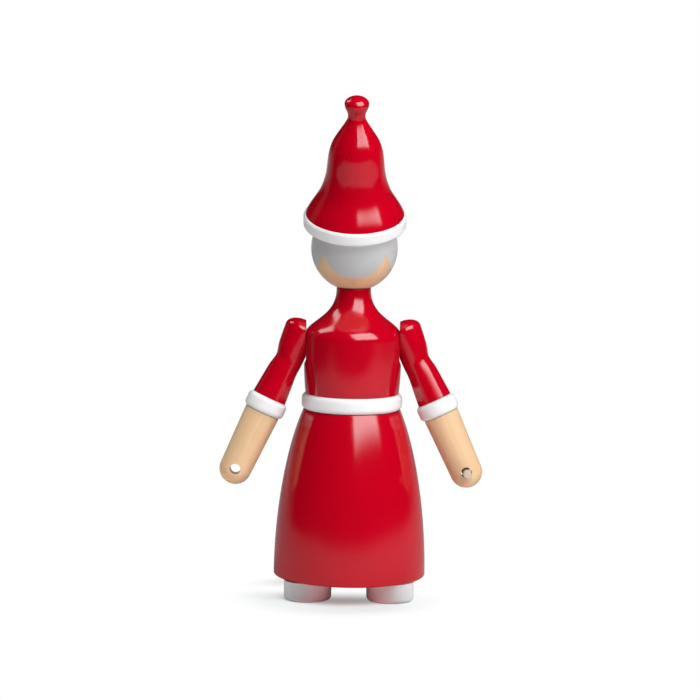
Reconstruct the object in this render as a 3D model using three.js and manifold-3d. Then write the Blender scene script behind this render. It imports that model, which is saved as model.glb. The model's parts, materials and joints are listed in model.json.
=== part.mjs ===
// A turned wooden holiday figure with a tall leaning hat, seen as it stands on a shelf.
// Millimetres, +Z up. The figure stands on z = 0 and faces -Y; its left hand is on +X.
import * as THREE from "three";
import { mergeVertices } from "three/addons/utils/BufferGeometryUtils.js";
import Module from "manifold-3d";

const wasm = await Module();
wasm.setup();

// Shoes
const SHOE_HEIGHT = 7.7;
const SHOE_WIDTH = 18.8;
const SHOE_LENGTH = 53;
const SHOE_HEEL = 23; // how far the heel reaches behind the body's axis
const SHOE_SPACING = 32.8; // between the two shoes' centre lines
const SHOE_EDGE = 1.6; // rounding along the sole
const SOLE_THICKNESS = 2.6; // wood left under the dowel's hole

// Bodice
const BODICE_HEIGHT = 42.2; // from the belt to the top of the neck
const CHEST_RADIUS = 19.4;
const CHEST_LEVEL = 8.5; // height of the fullest part above the belt
const CHEST_SWELL = 0.8; // how much the bodice draws in at the belt
const SHOULDER_LEVEL = 22.2; // above the belt, where the side turns over into the shoulder
const SHOULDER_TURN = 6.8; // length of the curve's handle at the shoulder
const NECK_RADIUS = 6.85;
const NECK_LENGTH = 0.5; // straight collar below the head
const NECK_FLARE = 12.2; // length of the curve's handle at the neck
const NECK_EDGE = 0.4;

// Belt and skirt
const BELT_HEIGHT = 6.6;
const BELT_PROUD = 1.45; // how far the belt stands out from the bodice
const BELT_EDGE = 2.2;
const SKIRT_HEIGHT = 66.9;
const HEM_RADIUS = 30.3;
const HEM_EDGE = 0.9;
const HEM_RISE = 23.7; // length of the curve's handle at the hem
const WAIST_TUCK = 0.7; // how far the skirt's top edge sits inside the belt
const WAIST_RISE = 17.6; // length of the curve's handle at the waist
const WAIST_LEAN = 22.9; // degrees that the skirt's side leans in at the waist

// Head and hat
const HEAD_RADIUS = 17.2;
const HEAD_FLAT_RADIUS = 7.3; // small flat that sits over the neck
const HAT_TILT = 20; // degrees back from upright
const BRIM_DROP = 7.55; // from the crown of the head down to the brim's underside, along the hat's axis
const BRIM_RADIUS = 20.4;
const BRIM_HEIGHT = 5.3;
const BRIM_EDGE = 1.3;
const HAT_INSET = 0.9; // how far the hat's foot sits inside the brim
const HAT_FOOT_LEAN = 0.39; // leans are radius lost per unit of height
const FLARE_RADIUS = 13.7;
const FLARE_LEVEL = 10.2; // heights from here on are above the hat's foot
const FLARE_LEAN = 0.4;
const CROWN_RADIUS = 11.5; // the hat's nearly upright stretch
const CROWN_LEVEL = 18.5;
const CROWN_LEAN = 0.12;
const HAT_SLOPE_RADIUS = 8.2;
const HAT_SLOPE_LEVEL = 32.4;
const HAT_SLOPE_LEAN = 0.63;
const HAT_SLOPE_RUN = 7.85; // height of the curve's handle along the slope, towards the tip
const TIP_RADIUS = 3.45; // the thin neck below the knob
const TIP_LEVEL = 41.85;
const TIP_TURN = 1.9; // height of the curve's handle below the tip
const KNOB_RADIUS = 4.85;
const KNOB_LEVEL = 46.4;
const HAT_HEIGHT = 49.5;

// Arms
const ARM_TILT = 24.7; // degrees out from upright
const ARM_SWING = 4.5; // degrees back from upright, as the figure stands
const SHOULDER_DROP = 20.1; // from the top of the neck to the shoulder's pivot
const SEAT_DEPTH = 1.05; // depth of the flat seat cut into the chest
const SEAT_MARGIN = 0.6; // width of the seat around the sleeve
const ARM_RISE = 6.7; // from the pivot up to the sleeve's tip
const SLEEVE_LENGTH = 33.8;
const SLEEVE_RADIUS = 6.95;
const SLEEVE_DOME = 4.5; // height of the rounded tip
const SLEEVE_TAPER = 0.09; // radius lost per unit of length below the tip
const SLEEVE_TAPER_RUN = 9; // length of the curve's handle along the taper
const ELBOW_LEVEL = 17.3; // along the arm, from the tip
const ELBOW_RADIUS = 5.53;
const ELBOW_SET_IN = 0.55; // how far the elbow's waist leans towards the body
const ELBOW_REACH = 3.2; // length over which it does so
const ELBOW_TURN = 1.2; // length of the curve's handles at the elbow
const SLEEVE_END_RADIUS = 6.93;
const SLEEVE_FLARE = 0.085; // radius gained per unit of length towards the end
const SLEEVE_FLARE_RUN = 11.5; // length of the curve's handle along the flare
const CUFF_RADIUS = 8.2;
const CUFF_HEIGHT = 6.3;
const CUFF_EDGE = 2;
const FOREARM_RADIUS = 7.1;
const FOREARM_LENGTH = 24.8; // from the cuff to the centre of the hand
const HAND_RADIUS = 6.4;
const HAND_HOLE_DIAMETER = 4.3;
const TENON_DIAMETER = 7;
const TENON_DEPTH = 9; // inside the sleeve
const PEG_LENGTH = 21;
const PEG_BACK = 6; // how far the peg stands out behind the hand
const PEG_EDGE = 0.5;

// Dowels
const WAIST_DOWEL_DIAMETER = 10;
const WAIST_DOWEL_DEPTH = 12; // into the skirt and into the bodice
const NECK_DOWEL_DIAMETER = 6;
const NECK_DOWEL_DEPTH = 12; // into the neck and into the head
const HAT_DOWEL_DIAMETER = 7;
const HAT_DOWEL_DEPTH = 8; // into the head and into the hat
const SHOULDER_DOWEL_DIAMETER = 6;
const SHOULDER_DOWEL_BODY_DEPTH = 8;
const SHOULDER_DOWEL_ARM_DEPTH = 5;
const SHOE_DOWEL_DIAMETER = 5;
const SHOE_DOWEL_DEPTH = 10; // into the skirt

// Clearances
const DOWEL_CLEARANCE = 0.25; // around a dowel and at its ends
const PEG_CLEARANCE = 0.3; // around the peg in the hand
const SEAT_GAP = 0.3; // between pieces that sit on each other at a slant or turn on each other

// Facets
const BODY_SIDES = 36;
const HEAD_SIDES = 32;
const ARM_SIDES = 24;
const DOWEL_SIDES = 16;
const WELD = 1e-4;
const QUARTER_TURN = 0.5523; // handle of a cubic curve that stands for a quarter ellipse

// Levels and places that follow from the sizes above
const hemLevel = SHOE_HEIGHT;
const beltLevel = hemLevel + SKIRT_HEIGHT;
const bodiceLevel = beltLevel + BELT_HEIGHT;
const neckTop = bodiceLevel + BODICE_HEIGHT;
const headFlat = -Math.sqrt(HEAD_RADIUS ** 2 - HEAD_FLAT_RADIUS ** 2);
const headLevel = neckTop + SEAT_GAP - headFlat;
const brimLow = HEAD_RADIUS - BRIM_DROP;
const hatFoot = brimLow + BRIM_HEIGHT + SEAT_GAP;
const socketRadius = HEAD_RADIUS + SEAT_GAP;
const bodiceFootRadius = CHEST_RADIUS - CHEST_SWELL;
const beltRadius = bodiceFootRadius + BELT_PROUD;
const shoulderLevel = neckTop - SHOULDER_DROP;
const seatX = CHEST_RADIUS - SEAT_DEPTH;
const armTilt = THREE.MathUtils.degToRad(ARM_TILT);
const armSwing = THREE.MathUtils.degToRad(ARM_SWING);
const hatTilt = THREE.MathUtils.degToRad(HAT_TILT);
const cuffTop = SLEEVE_LENGTH + SEAT_GAP;
const forearmTop = cuffTop + CUFF_HEIGHT + SEAT_GAP;
const handCentre = forearmTop + FOREARM_LENGTH;
const holeRadius = (diameter) => diameter / 2 + DOWEL_CLEARANCE;
const tenonTop = SLEEVE_LENGTH - TENON_DEPTH;

// Outlines are lists of (radius, height) points made of lines, arcs and cubic curves.
const line = (...points) => points.map(([radius, height]) => new THREE.Vector2(radius, height));

function curve(steps, ...controls) {
  return new THREE.CubicBezierCurve(...line(...controls)).getPoints(steps);
}

function arc(steps, [radius, height], size, from, to) {
  return new THREE.EllipseCurve(radius, height, size, size, from, to, to < from).getPoints(steps);
}

/** A band's outline, from its inner lower corner out, up and back in, with rounded outer edges. */
function band(inner, outer, low, high, edge) {
  const round = Math.min(edge, (high - low) / 2);
  return [
    ...line([inner, low]),
    ...arc(3, [outer - round, low + round], round, -Math.PI / 2, 0),
    ...arc(3, [outer - round, high - round], round, 0, Math.PI / 2),
    ...line([inner, high]),
  ];
}

/** Welds a geometry's shared corners and drops the triangles that shrink to nothing there. */
function welded(geometry) {
  const bare = new THREE.BufferGeometry();
  bare.setAttribute("position", geometry.getAttribute("position"));
  bare.setIndex(geometry.getIndex());
  const mesh = mergeVertices(bare, WELD);
  const corners = mesh.getIndex().array;
  const kept = [];
  for (let i = 0; i < corners.length; i += 3) {
    const [a, b, c] = corners.slice(i, i + 3);
    if (a !== b && b !== c && c !== a) kept.push(a, b, c);
  }
  mesh.setIndex(kept);
  return mesh;
}

/** A piece turned about Z. The outline runs from the axis out, up and back to it, or closes on itself. */
function turned(outline, sides) {
  return welded(new THREE.LatheGeometry(outline, sides).rotateX(Math.PI / 2));
}

/** A round rod or drill along Z between two heights. */
function rod(radius, low, high, sides = DOWEL_SIDES) {
  const geometry = new THREE.CylinderGeometry(radius, radius, high - low, sides);
  return geometry.rotateX(Math.PI / 2).translate(0, 0, (low + high) / 2);
}

function toSolid(geometry) {
  const mesh = welded(geometry);
  const vertProperties = new Float32Array(mesh.getAttribute("position").array);
  const triVerts = new Uint32Array(mesh.getIndex().array);
  return new wasm.Manifold(new wasm.Mesh({ numProp: 3, vertProperties, triVerts }));
}

/** The geometry with each tool's shape cut out of it. */
function cut(geometry, ...tools) {
  const solid = tools.reduce((left, tool) => left.subtract(toSolid(tool)), toSolid(geometry));
  const { vertProperties, triVerts } = solid.getMesh();
  const result = new THREE.BufferGeometry();
  result.setAttribute("position", new THREE.BufferAttribute(vertProperties, 3));
  result.setIndex(new THREE.BufferAttribute(triVerts, 1));
  return result;
}

// Finishes, one new material for each piece
const redLacquer = () => new THREE.MeshStandardMaterial({ color: 0xc4001e, roughness: 0.25, metalness: 0 });
const whiteLacquer = () => new THREE.MeshStandardMaterial({ color: 0xf0f0ee, roughness: 0.35, metalness: 0 });
const naturalWood = () => new THREE.MeshStandardMaterial({ color: 0xe6ba8c, roughness: 0.55, metalness: 0 });
const rawWood = () => new THREE.MeshStandardMaterial({ color: 0xd8b59a, roughness: 0.8, metalness: 0 });

function piece(name, geometry, material) {
  geometry.computeVertexNormals();
  const mesh = new THREE.Mesh(geometry, material);
  mesh.name = name;
  return mesh;
}

const sides = [
  { name: "left", sign: 1 },
  { name: "right", sign: -1 },
];

function shoe(sign) {
  const radius = SHOE_WIDTH / 2;
  const sole = new THREE.Shape();
  sole.absarc(0, SHOE_HEEL - radius, radius, 0, Math.PI);
  sole.absarc(0, SHOE_HEEL - SHOE_LENGTH + radius, radius, Math.PI, 2 * Math.PI);
  const block = new THREE.ExtrudeGeometry(sole, {
    depth: SHOE_HEIGHT,
    bevelThickness: SHOE_EDGE,
    bevelSize: SHOE_EDGE,
    bevelOffset: -SHOE_EDGE,
    bevelSegments: 3,
    curveSegments: 10,
  });
  block.translate(0, 0, SHOE_EDGE);
  const above = new THREE.BoxGeometry(2 * SHOE_WIDTH, 3 * SHOE_LENGTH, 2 * SHOE_HEIGHT);
  above.translate(0, 0, 2 * SHOE_HEIGHT);
  const hole = rod(holeRadius(SHOE_DOWEL_DIAMETER), SOLE_THICKNESS, 2 * SHOE_HEIGHT);
  return cut(block, above, hole).translate((sign * SHOE_SPACING) / 2, 0, 0);
}

function shoeDowel(sign) {
  const low = SOLE_THICKNESS + DOWEL_CLEARANCE;
  const dowel = rod(SHOE_DOWEL_DIAMETER / 2, low, hemLevel + SHOE_DOWEL_DEPTH);
  return dowel.translate((sign * SHOE_SPACING) / 2, 0, 0);
}

function skirt() {
  const bore = holeRadius(WAIST_DOWEL_DIAMETER);
  const boreFloor = beltLevel - WAIST_DOWEL_DEPTH - DOWEL_CLEARANCE;
  const waist = beltRadius - WAIST_TUCK;
  const lean = THREE.MathUtils.degToRad(WAIST_LEAN);
  const hemTop = hemLevel + HEM_EDGE;
  const form = turned([
    ...line([0, hemLevel]),
    ...arc(2, [HEM_RADIUS - HEM_EDGE, hemTop], HEM_EDGE, -Math.PI / 2, 0),
    ...curve(
      9,
      [HEM_RADIUS, hemTop],
      [HEM_RADIUS, hemTop + HEM_RISE],
      [waist + WAIST_RISE * Math.sin(lean), beltLevel - WAIST_RISE * Math.cos(lean)],
      [waist, beltLevel],
    ),
    ...line([bore, beltLevel], [bore, boreFloor], [0, boreFloor]),
  ], BODY_SIDES);
  const holes = sides.map(({ sign }) => {
    const top = hemLevel + SHOE_DOWEL_DEPTH + DOWEL_CLEARANCE;
    const drill = rod(holeRadius(SHOE_DOWEL_DIAMETER), hemLevel - SHOE_DOWEL_DEPTH, top);
    return drill.translate((sign * SHOE_SPACING) / 2, 0, 0);
  });
  return cut(form, ...holes);
}

function belt() {
  const bore = holeRadius(WAIST_DOWEL_DIAMETER);
  return turned([
    ...band(bore, beltRadius, beltLevel, bodiceLevel, BELT_EDGE),
    ...line([bore, beltLevel]),
  ], BODY_SIDES);
}

/** Half width of the arm's flat face: a slanted cut through the sleeve, from its tip down. */
function armSeatRadius() {
  const below = SLEEVE_RADIUS / Math.sin(armTilt) - ARM_RISE;
  return Math.max(ARM_RISE, below) + SEAT_MARGIN;
}

function bodice() {
  const waistBore = holeRadius(WAIST_DOWEL_DIAMETER);
  const waistEnd = bodiceLevel + WAIST_DOWEL_DEPTH + DOWEL_CLEARANCE;
  const neckBore = holeRadius(NECK_DOWEL_DIAMETER);
  const neckEnd = neckTop - NECK_DOWEL_DEPTH - DOWEL_CLEARANCE;
  const chest = bodiceLevel + CHEST_LEVEL;
  const shoulder = bodiceLevel + SHOULDER_LEVEL;
  const collar = neckTop - NECK_LENGTH;
  const form = turned([
    ...line([0, waistEnd], [waistBore, waistEnd], [waistBore, bodiceLevel]),
    ...curve(
      4,
      [bodiceFootRadius, bodiceLevel],
      [bodiceFootRadius + CHEST_SWELL / 2, bodiceLevel + CHEST_LEVEL / 3],
      [CHEST_RADIUS, chest - CHEST_LEVEL / 3],
      [CHEST_RADIUS, chest],
    ),
    ...curve(
      12,
      [CHEST_RADIUS, shoulder],
      [CHEST_RADIUS, shoulder + SHOULDER_TURN],
      [NECK_RADIUS, collar - NECK_FLARE],
      [NECK_RADIUS, collar],
    ),
    ...arc(2, [NECK_RADIUS - NECK_EDGE, neckTop - NECK_EDGE], NECK_EDGE, 0, Math.PI / 2),
    ...line([neckBore, neckTop], [neckBore, neckEnd], [0, neckEnd]),
  ], BODY_SIDES);
  const seats = sides.flatMap(({ sign }) => {
    const outside = 2 * CHEST_RADIUS;
    const boreEnd = seatX - SHOULDER_DOWEL_BODY_DEPTH - DOWEL_CLEARANCE;
    const cutters = [
      rod(armSeatRadius(), seatX, outside, ARM_SIDES),
      rod(holeRadius(SHOULDER_DOWEL_DIAMETER), boreEnd, outside),
    ];
    return cutters.map((tool) => tool.rotateY((sign * Math.PI) / 2).translate(0, 0, shoulderLevel));
  });
  return cut(form, ...seats);
}

/** The head, about its own centre. */
function head() {
  const bore = holeRadius(NECK_DOWEL_DIAMETER);
  const boreEnd = headFlat + NECK_DOWEL_DEPTH + DOWEL_CLEARANCE;
  const ball = turned([
    ...line([0, boreEnd], [bore, boreEnd], [bore, headFlat]),
    ...arc(16, [0, 0], HEAD_RADIUS, Math.asin(headFlat / HEAD_RADIUS), Math.PI / 2),
  ], HEAD_SIDES);
  const low = HEAD_RADIUS - HAT_DOWEL_DEPTH - DOWEL_CLEARANCE;
  const hatHole = rod(holeRadius(HAT_DOWEL_DIAMETER), low, 2 * HEAD_RADIUS);
  return cut(ball, hatHole.rotateX(-hatTilt));
}

/** The hat's brim: a ring with a hollow that fits the ball of the head, heights along the hat's axis. */
function hatBrim() {
  const high = brimLow + BRIM_HEIGHT;
  const innerLow = Math.sqrt(socketRadius ** 2 - brimLow ** 2);
  const innerHigh = Math.sqrt(socketRadius ** 2 - high ** 2);
  const outside = band(innerLow, BRIM_RADIUS, brimLow, high, BRIM_EDGE).slice(0, -1);
  const hollowFrom = Math.asin(high / socketRadius);
  const hollowTo = Math.asin(brimLow / socketRadius);
  const hollow = arc(5, [0, 0], socketRadius, hollowFrom, hollowTo);
  return turned([...outside, ...line([innerHigh, high]), ...hollow], BODY_SIDES);
}

/** A curve between two levels, each with its radius, height, lean and the height of its handle. */
function run(steps, [lowRadius, low, lowLean, lowTurn], [highRadius, high, highLean, highTurn]) {
  return curve(
    steps,
    [lowRadius, low],
    [lowRadius - lowLean * lowTurn, low + lowTurn],
    [highRadius + highLean * highTurn, high - highTurn],
    [highRadius, high],
  );
}

/** The hat: dished foot, flared skirt, upright crown, sloped shoulder, thin neck and knob. */
function hat() {
  const level = (height) => hatFoot + height;
  const footRadius = BRIM_RADIUS - HAT_INSET;
  const bore = holeRadius(HAT_DOWEL_DIAMETER);
  const boreEnd = HEAD_RADIUS + HAT_DOWEL_DEPTH + DOWEL_CLEARANCE;
  const flareTurn = FLARE_LEVEL / 3;
  const crownTurn = (CROWN_LEVEL - FLARE_LEVEL) / 3;
  const slopeTurn = (HAT_SLOPE_LEVEL - CROWN_LEVEL) / 3;
  const knobTurn = (KNOB_LEVEL - TIP_LEVEL) / 3;
  const flare = [FLARE_RADIUS, level(FLARE_LEVEL), FLARE_LEAN];
  const crown = [CROWN_RADIUS, level(CROWN_LEVEL), CROWN_LEAN];
  const slope = [HAT_SLOPE_RADIUS, level(HAT_SLOPE_LEVEL), HAT_SLOPE_LEAN];
  const tip = [TIP_RADIUS, level(TIP_LEVEL), 0];
  const knob = [KNOB_RADIUS, level(KNOB_LEVEL), 0];
  const dome = new THREE.EllipseCurve(
    0,
    level(KNOB_LEVEL),
    KNOB_RADIUS,
    HAT_HEIGHT - KNOB_LEVEL,
    0,
    Math.PI / 2,
  );
  return turned([
    ...line([0, boreEnd], [bore, boreEnd]),
    ...arc(4, [0, 0], socketRadius, Math.acos(bore / socketRadius), Math.asin(hatFoot / socketRadius)),
    ...run(5, [footRadius, hatFoot, HAT_FOOT_LEAN, flareTurn], [...flare, flareTurn]),
    ...run(4, [...flare, crownTurn], [...crown, crownTurn]),
    ...run(5, [...crown, slopeTurn], [...slope, slopeTurn]),
    ...run(6, [...slope, HAT_SLOPE_RUN], [...tip, TIP_TURN]),
    ...run(4, [...tip, knobTurn], [...knob, knobTurn]),
    ...dome.getPoints(4),
  ], HEAD_SIDES);
}

/** A sleeve in the shoulder's frame: its flat is the plane x = 0 and the pivot lies along X. */
function sleeve(sign) {
  const elbow = [ELBOW_RADIUS, -ELBOW_LEVEL, 0, ELBOW_TURN];
  const domeTurn = QUARTER_TURN * SLEEVE_DOME;
  const form = turned([
    ...line([0, -SLEEVE_LENGTH]),
    ...run(6, [SLEEVE_END_RADIUS, -SLEEVE_LENGTH, SLEEVE_FLARE, SLEEVE_FLARE_RUN], elbow),
    ...run(5, elbow, [SLEEVE_RADIUS, -SLEEVE_DOME, -SLEEVE_TAPER, SLEEVE_TAPER_RUN]),
    ...curve(
      5,
      [SLEEVE_RADIUS, -SLEEVE_DOME],
      [SLEEVE_RADIUS + SLEEVE_TAPER * domeTurn, domeTurn - SLEEVE_DOME],
      [QUARTER_TURN * SLEEVE_RADIUS, 0],
      [0, 0],
    ),
  ], ARM_SIDES);
  const corners = form.getAttribute("position");
  for (let i = 0; i < corners.count; i += 1) {
    const away = (corners.getZ(i) + ELBOW_LEVEL) / ELBOW_REACH;
    corners.setX(i, corners.getX(i) - sign * ELBOW_SET_IN * Math.exp(-(away ** 2)));
  }
  const tenonHole = rod(holeRadius(TENON_DIAMETER), -2 * SLEEVE_LENGTH, DOWEL_CLEARANCE - tenonTop);
  const arm = [form, tenonHole].map((shape) => shape.rotateY(-sign * armTilt).translate(0, 0, ARM_RISE));
  const bodySide = new THREE.BoxGeometry(SLEEVE_LENGTH, 2 * SLEEVE_LENGTH, 4 * SLEEVE_LENGTH);
  bodySide.translate((-sign * SLEEVE_LENGTH) / 2, 0, 0);
  const pivotHole = rod(
    holeRadius(SHOULDER_DOWEL_DIAMETER),
    -SLEEVE_RADIUS,
    SHOULDER_DOWEL_ARM_DEPTH + DOWEL_CLEARANCE,
  );
  return cut(arm[0], bodySide, arm[1], pivotHole.rotateY((sign * Math.PI) / 2));
}

function shoulderDowel(sign) {
  const inner = -SEAT_GAP - SHOULDER_DOWEL_BODY_DEPTH;
  return rod(SHOULDER_DOWEL_DIAMETER / 2, inner, SHOULDER_DOWEL_ARM_DEPTH).rotateY((sign * Math.PI) / 2);
}

function cuff() {
  const bore = holeRadius(TENON_DIAMETER);
  return turned([
    ...band(bore, CUFF_RADIUS, -cuffTop - CUFF_HEIGHT, -cuffTop, CUFF_EDGE),
    ...line([bore, -cuffTop - CUFF_HEIGHT]),
  ], ARM_SIDES);
}

/** A forearm with a tenon at its top, a round hand and a hole across it. */
function forearm() {
  const tenon = TENON_DIAMETER / 2;
  const form = turned([
    ...arc(6, [0, -handCentre], HAND_RADIUS, -Math.PI / 2, 0),
    ...line([FOREARM_RADIUS, -forearmTop], [tenon, -forearmTop], [tenon, -tenonTop], [0, -tenonTop]),
  ], ARM_SIDES);
  const hole = rod(HAND_HOLE_DIAMETER / 2, -2 * HAND_RADIUS, 2 * HAND_RADIUS);
  return cut(form, hole.rotateX(Math.PI / 2).translate(0, 0, -handCentre));
}

/** The peg, along Y about the hand's centre, with softened ends. */
function handPeg() {
  const radius = HAND_HOLE_DIAMETER / 2 - PEG_CLEARANCE;
  const back = HAND_RADIUS + PEG_BACK;
  const front = back - PEG_LENGTH;
  const form = turned([
    ...line([0, front]),
    ...arc(2, [radius - PEG_EDGE, front + PEG_EDGE], PEG_EDGE, -Math.PI / 2, 0),
    ...arc(2, [radius - PEG_EDGE, back - PEG_EDGE], PEG_EDGE, 0, Math.PI / 2),
    ...line([0, back]),
  ], DOWEL_SIDES);
  return form.rotateX(-Math.PI / 2).translate(0, 0, -handCentre);
}

function addBody(figure) {
  const joinLow = beltLevel - WAIST_DOWEL_DEPTH;
  const joinHigh = bodiceLevel + WAIST_DOWEL_DEPTH;
  const neckLow = neckTop - NECK_DOWEL_DEPTH;
  const neckHigh = headLevel + headFlat + NECK_DOWEL_DEPTH;
  figure.add(
    piece("skirt", skirt(), redLacquer()),
    piece("belt", belt(), whiteLacquer()),
    piece("waist_dowel", rod(WAIST_DOWEL_DIAMETER / 2, joinLow, joinHigh), rawWood()),
    piece("bodice", bodice(), redLacquer()),
    piece("neck_dowel", rod(NECK_DOWEL_DIAMETER / 2, neckLow, neckHigh), rawWood()),
  );
  for (const { name, sign } of sides) {
    figure.add(
      piece(`${name}_shoe`, shoe(sign), whiteLacquer()),
      piece(`${name}_shoe_dowel`, shoeDowel(sign), rawWood()),
    );
  }
}

function addHead(figure) {
  const headGroup = new THREE.Group();
  headGroup.position.z = headLevel;
  const hatGroup = new THREE.Group();
  hatGroup.rotation.x = -hatTilt;
  const low = HEAD_RADIUS - HAT_DOWEL_DEPTH;
  const high = HEAD_RADIUS + HAT_DOWEL_DEPTH;
  hatGroup.add(
    piece("hat_brim", hatBrim(), whiteLacquer()),
    piece("hat", hat(), redLacquer()),
    piece("hat_dowel", rod(HAT_DOWEL_DIAMETER / 2, low, high), rawWood()),
  );
  headGroup.add(piece("head", head(), naturalWood()), hatGroup);
  figure.add(headGroup);
}

function addArm(figure, { name, sign }) {
  const shoulder = new THREE.Group();
  shoulder.position.set(sign * (seatX + SEAT_GAP), 0, shoulderLevel);
  shoulder.rotation.x = armSwing;
  shoulder.add(
    piece(`${name}_sleeve`, sleeve(sign), redLacquer()),
    piece(`${name}_shoulder_dowel`, shoulderDowel(sign), rawWood()),
  );
  const lowerArm = new THREE.Group();
  lowerArm.position.z = ARM_RISE;
  lowerArm.rotation.y = -sign * armTilt;
  lowerArm.add(
    piece(`${name}_cuff`, cuff(), whiteLacquer()),
    piece(`${name}_forearm`, forearm(), naturalWood()),
  );
  if (name === "right") lowerArm.add(piece("hand_peg", handPeg(), rawWood()));
  shoulder.add(lowerArm);
  figure.add(shoulder);
}

const figure = new THREE.Group();
addBody(figure);
addHead(figure);
for (const side of sides) addArm(figure, side);

export default figure;
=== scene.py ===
"""Dresses the turned wooden figurine: smooth pieces, lacquer, bare and painted wood, studio and camera.

Everything is in metres in the part's own frame: +Z up, the figure faces -Y, its left hand is on +X.
"""

import json
import logging
import math
from dataclasses import dataclass, field, replace
from enum import Enum
from itertools import pairwise

import bpy
import numpy as np
from mathutils import Matrix, Vector


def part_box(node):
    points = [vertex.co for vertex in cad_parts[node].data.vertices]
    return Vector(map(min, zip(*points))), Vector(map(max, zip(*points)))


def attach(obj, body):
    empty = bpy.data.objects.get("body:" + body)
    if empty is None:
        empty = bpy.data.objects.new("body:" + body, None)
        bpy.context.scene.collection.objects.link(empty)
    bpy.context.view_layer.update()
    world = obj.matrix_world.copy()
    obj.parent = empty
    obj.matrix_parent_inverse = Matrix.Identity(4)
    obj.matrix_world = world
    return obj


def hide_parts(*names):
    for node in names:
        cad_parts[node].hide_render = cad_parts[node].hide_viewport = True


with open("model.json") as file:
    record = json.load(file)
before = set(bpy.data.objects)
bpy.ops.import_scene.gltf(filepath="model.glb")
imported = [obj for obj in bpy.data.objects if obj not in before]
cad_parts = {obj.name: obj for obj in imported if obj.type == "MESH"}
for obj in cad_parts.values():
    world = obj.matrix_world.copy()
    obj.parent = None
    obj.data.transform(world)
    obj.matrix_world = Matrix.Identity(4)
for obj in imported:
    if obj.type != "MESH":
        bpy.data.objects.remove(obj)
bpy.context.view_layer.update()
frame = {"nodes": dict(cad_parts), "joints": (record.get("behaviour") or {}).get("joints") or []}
FINISHED = "_finished"  # put behind a node's name, it names the piece that stands for the node

MM = 0.001
FINE = 0.3 * MM  # spacing of the rows along an outline
FEWEST = 6  # steps of the smallest arc
SAME = 1e-7  # points closer than this are one
SNUG = 0.05 * MM  # seam left between pieces that touch
DOWEL_CLEARANCE = 0.25 * MM
QUARTER_TURN = 0.5523  # handle of a cubic curve that stands for a quarter ellipse
SHARP = math.radians(38)  # edges that fold more than this stay crisp
IDENTITY = Matrix.Identity(4)
WHOLE = (0.0, 1.0)  # the range of a mask
DOWN = (1.0, 0.0)  # the same range, falling

log = logging.getLogger("figurine")
Array = np.ndarray
Pair = tuple[float, float]
Triple = tuple[float, float, float]
Colour = Triple
Material = bpy.types.Material
Socket = bpy.types.NodeSocket
Tree = bpy.types.NodeTree


class Side(Enum):
    """The figure's own left and right, as a sign along X."""

    LEFT = 1
    RIGHT = -1

    @property
    def word(self) -> str:
        """The side's name in lower case."""
        return self.name.lower()


class Slot(Enum):
    """The record's material slots."""

    RED = "red_lacquer"
    WHITE = "white_lacquer"
    NATURAL = "natural_wood"
    HEAD = "head_wood"
    RAW = "raw_wood"


class Edge(Enum):
    """An outer edge of a turned piece, as the angle at which its rounding starts."""

    LOWER = -90
    UPPER = 0


class Ramp(Enum):
    """How a mapped value changes between the ends of its range."""

    STRAIGHT = "LINEAR"
    SMOOTH = "SMOOTHSTEP"


def smoothstep(low: float, high: float, value: Array) -> Array:
    """Rises smoothly from 0 at low to 1 at high: t * t * (3 - 2 t)."""
    t = np.clip((value - low) / (high - low), 0.0, 1.0)
    return t * t * (3.0 - 2.0 * t)


def soft_positive(value: Array, width: float) -> Array:
    """The positive part of a value, its corner rounded over a width: (v + sqrt(v^2 + w^2)) / 2."""
    return 0.5 * (value + np.sqrt(value * value + width * width))


def around(columns: int) -> Array:
    """Even angles round an axis."""
    return np.linspace(0.0, 2.0 * math.pi, columns, endpoint=False)


def joint_place(name: str) -> list[float]:
    """A point on the axis of one of the record's hinges."""
    return next(joint["pos_m"] for joint in frame["joints"] if joint["name"] == name)


@dataclass(frozen=True)
class Level:
    """A place on a turned outline.

    Attributes:
        radius: Distance from the axis.
        height: Height along the axis.
        lean: Radius lost per unit of height.
    """

    radius: float
    height: float
    lean: float = 0.0

    def ahead(self, rise: float = 0.0) -> Pair:
        """The point reached by following the lean up by a rise, or down where it is negative."""
        return (self.radius - self.lean * rise, self.height + rise)

    def raised(self, rise: float) -> "Level":
        """The same level further up the axis."""
        return replace(self, height=self.height + rise)


@dataclass(frozen=True)
class Dowel:
    """A round dowel or tenon.

    Attributes:
        radius: Its radius in metres.
        depth: How far it goes into a piece.
    """

    radius: float
    depth: float

    @property
    def bore(self) -> float:
        """Radius of its hole."""
        return self.radius + DOWEL_CLEARANCE

    @property
    def hole(self) -> float:
        """Depth of its hole."""
        return self.depth + DOWEL_CLEARANCE


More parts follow.
